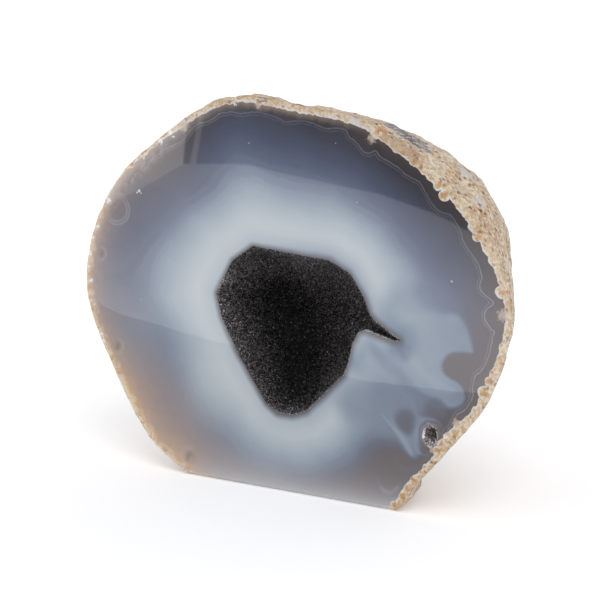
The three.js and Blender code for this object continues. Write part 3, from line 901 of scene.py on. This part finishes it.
agateLook = {
    "bands": [
        (0.00, srgb(55, 54, 59)), (0.14, srgb(67, 69, 80)), (0.28, srgb(77, 83, 100)),
        (0.40, srgb(90, 98, 117)),
        (0.50, srgb(106, 115, 133)), (0.60, srgb(132, 143, 157)), (0.70, srgb(153, 164, 173)),
        (0.80, srgb(172, 180, 186)), (0.90, srgb(182, 188, 190)), (1.00, srgb(176, 185, 192)),
    ],
    "lavender": (0.63, 0.68, 0.76, 1),
    "lip": srgb(92, 87, 91),
    "brownGrey": srgb(132, 125, 128),
    "brownDark": srgb(106, 99, 98),
    # painted light at the foot of the face
    "foot": srgb(190, 190, 192),
    "rimBrown": srgb(70, 64, 63),
    "rimGrey": srgb(118, 111, 110),
    "rimShade": srgb(134, 120, 110),
    "rimCream": srgb(206, 188, 162),
    # painted light through the thin edge: the warm glow, its pinker turn, and the cream right at the edge
    "paintedGlow": srgb(198, 164, 128),
    "glowPink": srgb(178, 154, 140),
    "edgeGlow": srgb(220, 202, 176),
    "puff": srgb(184, 183, 190),
    "line": srgb(166, 168, 174),
    "margin": srgb(200, 201, 202),
    "ochre": srgb(172, 133, 90),
    "pink": srgb(178, 162, 150),
    "chip": srgb(226, 229, 231),
    "eyeLine": srgb(176, 172, 174),
    "pocketRing": srgb(156, 160, 170),
    "pocketDark": srgb(112, 102, 102),
    "noises": {  # size in mm, detail, roughness
        "drift": (9, 3), "fine": (1.6, 2), "mottle": (2.6, 4, 0.6), "grainy": (0.6, 2), "patches": (14, 1),
    },
    "layers": {"count": 26, "drift": 4, "detail": 1.5, "places": (0.35, 0.62), "strength": 0.045},
    "bandDrift": 0.08,
    "glowMottle": (0.9, 0.55),  # the painted glow is times the mottle's share plus the rest
    "glowPinkPlaces": (0.4, 0.62),
    "glowPinkShare": 0.6,
    "disc": (0.3, 0.15),
    "marginReach": 0.6,
    "marginPlaces": (0.42, 0.64),
    "rimCreamShare": 0.22,
    "rimSways": {"fine": 0.5, "grainy": 0.4},
    "rimRows": [
        {"by": "core", "sways": [("mottle", 1.5)], "ends": (0.9, 0.2), "cover": 0.75, "paint": "ochre"},
        {"by": "marginPlace", "ends": (-0.3, 0.1), "where": ("grainy", 0.2, 0.5), "cover": 0.85,
         "paint": "margin"},
    ],
    "faceRows": [
        {"by": "brown", "cover": 0.9, "paint": "brownGrey", "turn": "darkBrown", "turned": "brownDark"},
        # painted light towards the bottom of the face
        {"by": "paintedFootGlow", "cover": 0.9, "paint": "foot"},
        {"by": "veil", "paint": "lavender", "blend": "MULTIPLY"},
        {"by": "lip", "sways": [("drift", 0.4)], "ends": (1.0, -0.1), "paint": "lip"},
        {"by": "pocketGap", "ends": (1.0, 0.1), "cover": 0.5, "paint": "pocketDark"},
        {"by": "pocketGap", "sways": ringSway, "at": 0.75, "ends": (0.4, 0.08), "seen": "pocketRing",
         "cover": 0.45, "paint": "pocketRing"},
        {"by": "pocketGap", "sways": ringSway, "at": 1.8, "ends": (0.8, 0.16), "seen": "pocketRing",
         "cover": 0.2, "paint": "pocketRing"},
        {"by": "pocketGap", "ends": (0.6, 0.25), "seen": "crescent", "paint": "chip"},
        {"by": "linePlace", "sways": [("mottle", 2.4)], "ends": (1.6, -3.4), "seen": "bandSeen",
         "paint": "rimGrey", "turn": "rimBrown", "turned": "rimBrown"},
        {"by": "rimDepth", "sways": [("mottle", 1.6)], "ends": (2.0, -0.2), "seen": "rimShade",
         "paint": "rimShade"},
        {"by": "linePlace", "sways": lineSways, "at": -0.13, "ends": (0.3, 0.06), "seen": "lineSeen",
         "cover": 0.42, "paint": "line"},
        {"by": "linePlace", "sways": lineSways, "at": 0.6, "ends": (0.26, 0.05), "seen": "lineSeen",
         "cover": 0.2, "paint": "line"},
        # painted light through the thin edge
        {"by": "glowShare", "paint": "paintedGlow", "turn": "glowTurn", "turned": "glowPink"},
        {"by": "mottle", "ends": (0.38, 0.66), "seen": "puffSeen", "paint": "puff"},
        {"by": "edgeGap", "sways": [("mottle", 6.0)], "ends": (2.7, -0.2), "seen": "glowSeen", "cover": 0.8,
         "paint": "edgeGlow"},
        {"by": "edgeGap", "sways": [("grainy", 1.5)], "ends": (2.4, 0.5), "where": ("fine", 0.5, 0.6),
         "seen": "glowSeen", "cover": 0.6, "paint": "ochre"},
        {"by": "eye", "sways": eyeSway, "ends": (0.95, 0.3), "seen": "discSeen", "paint": "brownDark"},
        {"by": "eye", "sways": eyeSway, "at": 1.0, "ends": (0.13, 0.026), "seen": "eyeSeen", "cover": 0.2,
         "paint": "eyeLine"},
        {"by": "eye", "sways": eyeSway, "at": 1.24, "ends": (0.13, 0.026), "seen": "eyeSeen", "cover": 0.22,
         "paint": "eyeLine"},
        {"by": "ragged", "ends": (0.16, -0.06), "paint": "rim"},
        {"by": "pink", "sways": [("grainy", 1.6)], "ends": (1.2, 0.4), "cover": 0.85, "paint": "pink"},
        {"by": "chip", "sways": [("grainy", 2.08)], "ends": (0.9, 0.5), "cover": 0.6, "paint": "chip"},
    ],
    "nickRow": {"sways": [("grainy", 2.4)], "ends": (0.8, 0.4), "paint": "chip"},
    "nicks": [  # x, z, radius, strength
        (-46.3, 75.2, 0.6, 0.65), (-46.9, 74.7, 0.4, 0.55), (-45.7, 74.5, 0.35, 0.4),
        (45.2, 62.5, 0.5, 0.35), (18.3, 79.4, 0.3, 0.25), (12.2, 93.8, 0.25, 0.3), (-13.0, 91.3, 0.25, 0.3),
        (-46.3, 46.0, 0.25, 0.3),
    ],
}


def bandColor(tree, sources):  # the bands, with fine layers between them from a noise of one dimension
    layers, tone = agateLook["layers"], attribute(tree, "tone")
    place = calculate("ADD", times(tone, layers["count"]), times(sources["drift"], layers["drift"]))
    sockets = {"W": place, "Scale": 1.0, "Detail": layers["detail"], "Roughness": 0.5}
    fineLayers = node("ShaderNodeTexNoise", sockets, noise_dimensions="1D").outputs["Fac"]
    strength = times(step(sources["patches"], *layers["places"]), layers["strength"])
    strength = times(strength, attribute(tree, "layered"))
    tone = swayed(swayed(tone, fineLayers, strength), sources["drift"], agateLook["bandDrift"])
    return ramp(tone, agateLook["bands"])


def agateFinish(name, inputs):
    look = agateLook
    material, tree, shader = newMaterial(name, inputs)
    place = objectPlace(tree)
    sources = {label: noise(place, *sizes) for label, sizes in look["noises"].items()}
    mottleShare, rest = look["glowMottle"]
    paintedGlow = calculate("ADD", times(sources["mottle"], mottleShare), rest)
    sources["glowShare"] = times(attribute(tree, "paintedGlow"), paintedGlow)
    sources["glowTurn"] = times(step(sources["drift"], *look["glowPinkPlaces"]), look["glowPinkShare"])
    eyeShare, rest = look["disc"]
    sources["discSeen"] = calculate("ADD", times(attribute(tree, "eyeSeen"), eyeShare), rest)
    ragged = attribute(tree, "rimDepth")
    for label, reach in look["rimSways"].items():
        ragged = swayed(ragged, sources[label], reach)
    sources["ragged"] = ragged
    marginReach = times(step(sources["mottle"], *look["marginPlaces"]), look["marginReach"])
    sources["marginPlace"] = calculate("ADD", ragged, marginReach)
    rock = mix(look["rimCreamShare"], rockColor(tree, place)[0], look["rimCream"])
    sources["rim"] = layPaints(tree, rock, look["rimRows"], sources, look)
    color = layPaints(tree, bandColor(tree, sources), look["faceRows"], sources, look)
    for x, z, size, strength in look["nicks"]:
        spot = ((x + shift[0]) * mm, shift[1] * mm, z * mm)
        away = node("ShaderNodeVectorMath", {0: place, 1: spot}, operation="DISTANCE").outputs["Value"]
        sources["nick"] = calculate("DIVIDE", away, size * mm)
        color = layPaints(tree, color, [{"by": "nick", "cover": strength, **look["nickRow"]}], sources, look)
    fill(shader, {"Base Color": color})
    return material, tree, shader


def wallFinish(name, inputs, size, dark, pale):  # a wall that shows between the crystals, size in mm
    material, tree, shader = newMaterial(name, inputs)
    fill(shader, {"Base Color": mix(noise(objectPlace(tree), size, 3), dark, pale)})
    return material


def sawnFinish():
    material, tree, shader = agateFinish("sawn agate", {"Roughness": 0.32})
    fill(shader, {"Normal": bump(noise(objectPlace(tree), 0.5, 3), 0.15, 0.05)})
    return material


values = faceValues(stonePoints[:, 0], stonePoints[:, 2])
print("bands of the face worked out")
values = baseValues(stonePoints[:, 0], stonePoints[:, 1], values)
values.update(stainShares(stonePoints))
finishes = [
    agateFinish("polished agate", {"Roughness": 0.02})[0],
    rindFinish(),
    sawnFinish(),
    wallFinish("wall under the black crystals", {"Roughness": 0.6, "Specular IOR Level": 0.1}, 0.8,
               srgb(12, 12, 14), srgb(20, 20, 22)),
    wallFinish("wall of the small pocket", {"Roughness": 0.3}, 0.9, srgb(136, 130, 128), srgb(84, 77, 77)),
]
isRounded = np.isin(finish, [rough, hollowWall, pocketWall])
stone = makeMesh("agate_stone", stonePoints + shift, [stoneQuads, hollowFan, backFan], finishes, finish,
                 isRounded, values)
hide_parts("agate")


def crystalFinish(look, values):
    material, tree, shader = newMaterial(look["finish"], {"Roughness": look["roughness"]})
    color = mix(attribute(tree, "tint"), look["dark"], look["tinted"])
    fill(shader, {"Base Color": mix(attribute(tree, "pale"), color, look["pale"])})
    if "shine" in values:
        fill(shader, {"Specular IOR Level": attribute(tree, "shine")})
    return material


tipPlaces = (-0.3, 0.3)  # how far a crystal's tip stands from its axis, in its radii


# Pointed crystals as one mesh: a ring of points round the axis at its foot, and a tip near the axis.
def crystalMesh(name, sides, foot, axis, radius, height, look, values):
    chance = np.random.default_rng(look["shapeSeed"])
    count = len(foot)
    side = unit(np.cross(axis, chance.normal(size=(count, 3))))
    other = np.cross(axis, side)
    turn = np.arange(sides) * 2 * math.pi / sides
    ring = side[:, None] * np.cos(turn)[:, None] + other[:, None] * np.sin(turn)[:, None]
    ring = ring * radius[:, None, None] + (foot - axis * look["sink"])[:, None]
    aside = chance.uniform(*tipPlaces, count) * radius
    tip = foot + axis * height[:, None] + side * aside[:, None]
    points = np.concatenate([ring, tip[:, None]], 1).reshape(-1, 3)
    corner = np.arange(sides)
    slopes = np.stack([corner, (corner + 1) % sides, np.full(sides, sides)], 1)
    bottom = np.array([[0, place + 1, place] for place in range(1, sides - 1)])
    shape = np.concatenate([slopes, bottom])
    triangles = (np.arange(count)[:, None, None] * (sides + 1) + shape).reshape(-1, 3)
    spread = {label: np.repeat(value, sides + 1) for label, value in values.items()}
    return makeMesh(name, points + shift, [triangles], [crystalFinish(look, values)], values=spread)


# The druse: feet in rows at even steps down the hollow's wall, at even steps along each row. Shade is painted
# into the crystals' colour: darker along a line down its back, deeper in, low down, at the top and on the
# right, paler towards the mouth.
crust = {
    "pitch": 0.288,
    "firstRow": 0.12,
    "rowDirection": -1.2,  # along this way down the wall the rows are even
    "shifts": {"along": 0.9, "across": 0.005},  # by chance: in feet along a row, in radians across it
    "radii": (0.18, 0.32),
    "heights": (0.2, 0.55),
    "tilt": 0.5,
    "sink": 0.16,
    "placeSeed": 23,
    "shapeSeed": 31,
    "aimDepth": 12,  # the crystals look at the hollow's heart, at this depth
    "edgeSize": 0.6,  # size of the crystals at the mouth, and the depth from which they are whole
    "wholeDepth": 1.5,
    "outDepth": 0.8,  # nearer to the mouth none of them leans out of it
    "lipDepth": 0.7,
    "palePlaces": [(-100, -20, 0.5), (178, 194, 0.7)],  # on the lip: directions, and how pale at most
    "notchPlace": {"directions": (-20, -14), "low": 17.5, "all": 28.3, "depth": 1.3, "fade": (16, 22),
                   "pale": (0.3, 1.0)},
    # points of a line down the hollow's back, along which painted shade darkens the crystals
    "shadeLine": [
        (-17.5, 22.8, 45.5), (-16.2, 24.2, 41.5), (-14.2, 23.6, 37), (-11.7, 21.6, 30.5),
        (-8.7, 16.7, 23.5),
    ],
    "shadeLineReach": (1.0, 12.0),
    "shadeLineShare": 0.3,
    # painted light and shade: how it fades with depth, and how much less falls deep in, low down, at the top
    # and on the right side
    "mouthReach": 9.0,
    "deepShare": 0.45,
    "lowShare": 0.62,
    "lowHeights": (28, 52),
    "topShade": 0.42,
    "topHeights": (54, 61),
    "sideShade": 0.22,
    "sidePlaces": (7, 13),
    "sideHeights": (52, 44),
    # painted glints: a few crystals are painted pale, and less so where shade is painted
    "glints": 0.06,
    "glintPale": (0.1, 0.7),
    "glintInDark": 0.3,
    "tintPower": 2.4,  # above 1, few crystals are tinted strongly
    "shine": (0.1, 0.35),
    "finish": "black crystals",
    "roughness": 0.22,
    "dark": srgb(26, 26, 29),
    "tinted": srgb(194, 187, 188),
    "pale": srgb(222, 220, 220),
}


def crustFeet(chance):
    dense = np.linspace(0, quarter, 400)
    reached = lengthAlong(hollowPoint(np.full_like(dense, crust["rowDirection"]), dense))
    rowTurns = np.interp(np.arange(crust["firstRow"], reached[-1], crust["pitch"]), reached, dense)
    along, across = crust["shifts"].values()
    angles, turns = [], []
    spread = np.linspace(-math.pi, math.pi, 1500)
    for turn in rowTurns:
        length = lengthAlong(hollowPoint(spread, np.full_like(spread, turn)))
        count = max(3, int(length[-1] / crust["pitch"]))
        s = (np.arange(count) + chance.uniform(0, along, count)) / count * length[-1]
        angles.append(np.interp(s, length, spread))
        turns.append(np.clip(turn + chance.uniform(-across, across, count), 0.002, quarter - 0.01))
    return np.concatenate(angles), np.concatenate(turns)


def shadeLineGap(points):  # distance to the line along which shade is painted
    corners = np.array(crust["shadeLine"], float)
    line = pointsAt(np.linspace(0, len(corners) - 1, 60), corners, np.arange(len(corners)))
    return np.min([np.linalg.norm(points - spot, axis=1) for spot in line], axis=0)


def growCrust():
    chance = np.random.default_rng(crust["placeSeed"])
    angle, turn = crustFeet(chance)
    foot = hollowPoint(angle, turn)
    aside = 0.002
    alongRing = hollowPoint(angle + aside, turn) - foot
    alongDepth = hollowPoint(angle, turn + aside) - foot
    normal = unit(np.cross(alongRing, alongDepth))
    inward = np.array([hollow["heart"][0], crust["aimDepth"], hollow["heart"][1]]) - foot
    normal *= np.sign((normal * inward).sum(1, keepdims=True))
    count = len(foot)
    axis = unit(normal + chance.normal(scale=crust["tilt"], size=(count, 3)))
    x, y, z = foot.T
    small = atLeast(crust["edgeSize"], smooth(0, crust["wholeDepth"], y))
    radius = chance.uniform(*crust["radii"], count) * small
    height = np.minimum(chance.uniform(*crust["heights"], count) * small, crust["sink"] + y)
    axis[:, 1] = np.where(y < crust["outDepth"], np.abs(axis[:, 1]), axis[:, 1])

    # painted light and shade from 0 to 1: less near the shade line, deeper in, low down, at the top and on
    # the right side
    lit = atLeast(crust["shadeLineShare"], smooth(*crust["shadeLineReach"], shadeLineGap(foot)))
    lit *= atLeast(crust["deepShare"], np.exp(-y / crust["mouthReach"]))
    lit *= atLeast(crust["lowShare"], smooth(*crust["lowHeights"], z))
    lit *= 1 - crust["topShade"] * smooth(*crust["topHeights"], z)
    lit *= 1 - crust["sideShade"] * smooth(*crust["sidePlaces"], x) * smooth(*crust["sideHeights"], z)
    # painted glints: a few crystals are painted pale as sparkle, dimmer in painted shade
    isGlint = chance.random(count) < crust["glints"]
    glint = chance.uniform(*crust["glintPale"], count) * atLeast(crust["glintInDark"], lit)
    pale = np.where(isGlint, glint, 0.0)
    direction = np.degrees(angle)
    for first, last, most in crust["palePlaces"]:
        isHere = (y < crust["lipDepth"]) & ((direction - first) % 360 < last - first)
        pale = np.where(isHere, chance.uniform(0, most, count), pale)
    notch = crust["notchPlace"]
    first, last = notch["directions"]
    isLowEdge = (direction > first) & (direction < last) & (x > notch["low"])
    isNotch = (isLowEdge | (x > notch["all"])) & (y < notch["depth"])
    pale = np.where(isNotch, chance.uniform(*notch["pale"], count) * smooth(*notch["fade"], x), pale)
    # painted light: each crystal's random tint is multiplied by how much painted light it gets
    tint = chance.random(count) ** crust["tintPower"] * lit
    dull, bright = crust["shine"]
    # the specular level is also lowered where shade is painted
    values = {"pale": pale, "tint": tint, "shine": dull + bright * lit}
    return crystalMesh("black_druse", 3, foot, axis, radius, height, crust, values)


druse = growCrust()
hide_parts("hollow_crystals")
print("black druse grown")


# The pocket's crystals: on its wall point = heart + spoke * cos turn, depth * sin turn, and round its edge.
pocketCrust = {
    "turns": (0.05, quarter - 0.15),
    "rows": 5,
    "girth": 19,  # mm round the pocket's edge
    "pitch": 0.85,
    "radii": (0.35, 0.6),
    "heights": (0.5, 1.0),
    "tilt": 0.35,
    "sink": 0.3,
    "placeSeed": 41,
    "shapeSeed": 43,
    "aimDepth": 1.0,
    "outDepth": 1.0,
    "shortDepth": 0.8,
    "shortShare": 0.4,
    "lowHeights": (21, 19),
    "lowPale": 0.35,
    "leftRim": {"places": (38.6, 37.7), "heights": (20.2, 21), "depths": (1.6, 0.6), "pale": 0.9},
    "chancePale": (-0.15, 0.25),
    "finish": "grey crystals",
    "roughness": 0.3,
    "dark": srgb(122, 112, 110),
    "tinted": srgb(174, 164, 162),
    "pale": srgb(230, 226, 226),
}


def growPocket():
    look, (heartX, heartZ) = pocketCrust, pocket["heart"]
    chance = np.random.default_rng(look["placeSeed"])
    feet, axes = [], []
    for turn in np.linspace(*look["turns"], look["rows"]):
        count = max(3, int(look["girth"] * math.cos(turn) / look["pitch"]))
        angle = (np.arange(count) + chance.uniform(0, 0.7, count)) / count * 2 * math.pi
        edge = radiusAt(angle, pocketLoop, pocket["heart"]) * math.cos(turn)
        z = heartZ + edge * np.sin(angle)
        foot = np.stack([heartX + edge * np.cos(angle), pocketDepth(z) * math.sin(turn), z], 1)
        feet.append(foot)
        axes.append(np.array([heartX, look["aimDepth"], heartZ]) - foot)
    foot, axis = np.concatenate(feet), np.concatenate(axes)
    count = len(foot)
    axis = unit(unit(axis) + chance.normal(scale=look["tilt"], size=axis.shape))
    x, y, z = foot.T
    axis[:, 1] = np.where(y < look["outDepth"], np.abs(axis[:, 1]), axis[:, 1])
    radius = chance.uniform(*look["radii"], count)
    height = chance.uniform(*look["heights"], count) * np.where(y < look["shortDepth"], look["shortShare"], 1)
    rim = look["leftRim"]
    onRim = smooth(*rim["places"], x) * smooth(*rim["heights"], z) * smooth(*rim["depths"], y)
    pale = look["lowPale"] * smooth(*look["lowHeights"], z) + rim["pale"] * onRim
    pale = np.clip(pale + chance.uniform(*look["chancePale"], count), 0, 1)
    values = {"pale": pale, "tint": chance.random(count)}
    return crystalMesh("grey_pocket_crystals", 6, foot, axis, radius, height, look, values)


pocketCrystals = growPocket()
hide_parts("pocket_crystals")
print("pocket crystals grown")


# Studio: a pale floor, soft light from above and from both sides, and cards that only reflections see.

studio = {
    "floor": srgb(246, 246, 247),
    "floorSize": 12.0,
    "floorLight": 0.16,
    "sky": (1.0, 1.0, 1.02),
    "skyStrength": 0.76,
    "suns": [  # direction towards the lamp, strength, angle across
        {"name": "key", "towards": (0.5, -0.62, 0.9), "strength": 0.95, "angle": 34},
        {"name": "fill", "towards": (-0.7, -0.5, 0.8), "strength": 0.35, "angle": 60},
        {"name": "glint", "towards": (0.62, -0.35, 0.75), "strength": 0.9, "angle": 7},
    ],
}

# Cards on the floor in front of the stone, seen by its polish alone: (x, y) corners in mm and brightness.
cards = [
    {"name": "dark_near_card", "light": 0.0, "corners": [
        (-153, -162), (-137, -152), (-118, -147), (-107, -143), (-35, -124), (-6, -127), (60, -150),
        (60, -24), (-170, -24)]},
    {"name": "dark_far_card", "light": 0.0, "corners": [
        (-236, -357), (-275, -425), (-620, -1020), (200, -1300), (260, -260), (60, -250), (-98, -311),
        (-106, -319), (-120, -329), (-136, -338), (-150, -346), (-164, -349), (-180, -354), (-202, -360),
        (-218, -367)]},
    {"name": "bright_strip", "light": 1.0, "corners": [
        (-238, -356), (-277, -424), (-622, -1019), (-620, -1020), (-275, -425), (-236, -357)]},
    {"name": "dark_strip", "light": 0.0, "corners": [
        (-240.2, -354.5), (-281, -422), (-627, -1017), (-622, -1019), (-277, -424), (-238, -356)]},
    {"name": "bright_far_card", "light": 2.0, "corners": [
        (-221, -265), (-228, -291), (-230, -308), (-240.2, -354.5), (-281, -422), (-627, -1017),
        (-1200, -900), (-700, -200)]},
]

view = {"azimuth": 30, "elevation": 14.5, "target": (2.90, -23.25, 52.07), "distance": 800, "lens": 188.6}


def flatCard(name, corners, material):
    mesh = bpy.data.meshes.new(name)
    mesh.from_pydata([tuple(c) for c in corners], [], [tuple(range(len(corners)))])
    mesh.materials.append(material)
    card = bpy.data.objects.new(name, mesh)
    bpy.context.scene.collection.objects.link(card)
    return card


def setCards():
    for card in cards:
        look = {"Roughness": 0.8, "Base Color": (0, 0, 0, 1), "Specular IOR Level": 0,
                "Emission Color": (1, 1, 1, 1), "Emission Strength": card["light"]}
        corners = [(x * mm, y * mm, 0.5 * mm) for x, y in card["corners"]]
        made = flatCard(card["name"], corners, newMaterial(card["name"], look)[0])
        made.visible_camera = made.visible_diffuse = made.visible_shadow = made.visible_transmission = False


def setStudio():
    half = studio["floorSize"] / 2
    corners = [(-half, -half, 0), (half, -half, 0), (half, half, 0), (-half, half, 0)]
    look = {"Roughness": 0.7, "Base Color": studio["floor"], "Emission Color": studio["floor"],
            "Emission Strength": studio["floorLight"]}
    flatCard("floor", corners, newMaterial("pale floor", look)[0])
    world = bpy.data.worlds.new("soft studio")
    world.use_nodes = True
    sky = {"Color": (*studio["sky"], 1), "Strength": studio["skyStrength"]}
    fill(world.node_tree.nodes["Background"], sky)
    bpy.context.scene.world = world
    for sun in studio["suns"]:
        lamp = bpy.data.lights.new(sun["name"], "SUN")
        lamp.energy = sun["strength"]
        lamp.angle = math.radians(sun["angle"])
        holder = bpy.data.objects.new(sun["name"], lamp)
        holder.rotation_euler = Vector(sun["towards"]).to_track_quat("Z", "Y").to_euler()
        bpy.context.scene.collection.objects.link(holder)
        holder.visible_diffuse = sun["name"] != "glint"


def setCamera():
    a, e = math.radians(view["azimuth"]), math.radians(view["elevation"])
    back = Vector((math.sin(a) * math.cos(e), -math.cos(a) * math.cos(e), math.sin(e)))
    camera = bpy.data.objects.new("camera", bpy.data.cameras.new("camera"))
    bpy.context.scene.collection.objects.link(camera)
    camera.location = (Vector(view["target"]) + back * view["distance"]) * mm
    camera.rotation_mode = "QUATERNION"
    camera.rotation_quaternion = (-back).to_track_quat("-Z", "Y")
    camera.data.lens = view["lens"]
    camera.data.sensor_width = 36
    bpy.context.scene.camera = camera


setStudio()
setCards()
setCamera()
bpy.context.scene.view_settings.view_transform = "Standard"
print("studio and camera set")
